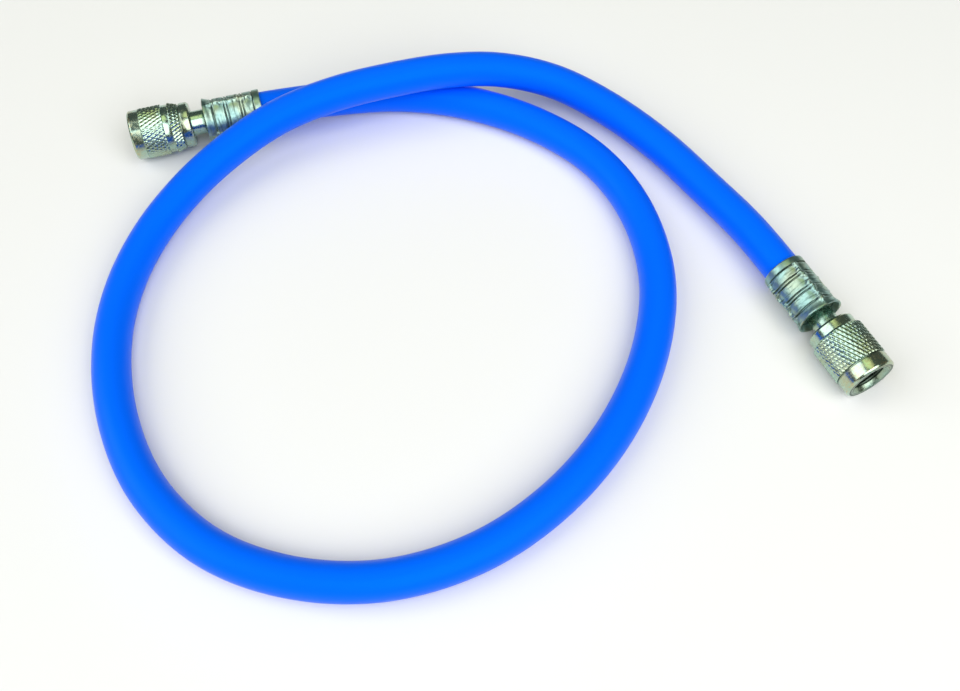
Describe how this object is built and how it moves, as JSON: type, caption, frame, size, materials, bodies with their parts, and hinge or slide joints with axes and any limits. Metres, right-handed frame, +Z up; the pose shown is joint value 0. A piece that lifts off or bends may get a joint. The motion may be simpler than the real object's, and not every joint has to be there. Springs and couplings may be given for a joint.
{
  "type": "refrigerant charging hose",
  "caption": "Flexible refrigerant charging hose lying in a loop, with a crimped ferrule and a knurled swivel nut at each end.",
  "frame": {"origin": "middle of the footprint, on the floor the hose lies on", "axes": "+Z is up; the front fitting points along -Y; the loop lies in the XY plane"},
  "size_m": [0.2341, 0.2159, 0.0262],
  "materials": {
    "hose_rubber": "smooth satin bright blue",
    "ferrule_metal": "bright pale greenish plating over brass, crimped",
    "stem_metal": "bright pale plating over brass, turned",
    "nut_metal": "bright pale greenish plating over brass, knurled"
  },
  "bodies": {
    "hose_assembly": {"hose": "hose_rubber", "front_ferrule": "ferrule_metal", "front_stem": "stem_metal", "back_ferrule": "ferrule_metal", "back_stem": "stem_metal"},
    "front_nut": {"front_swivel_nut": "nut_metal"},
    "back_nut": {"back_swivel_nut": "nut_metal"}
  },
  "joints": [
    {"name": "front_nut_swivel", "type": "hinge", "parent": "hose_assembly", "child": "front_nut", "pos_m": [0.108, -0.09, 0.0091], "axis": [0, -1, 0], "continuous": true},
    {"name": "back_nut_swivel", "type": "hinge", "parent": "hose_assembly", "child": "back_nut", "pos_m": [-0.05621, 0.09668, 0.0091], "axis": [-0.9781, 0.2079, 0], "continuous": true}
  ]
}
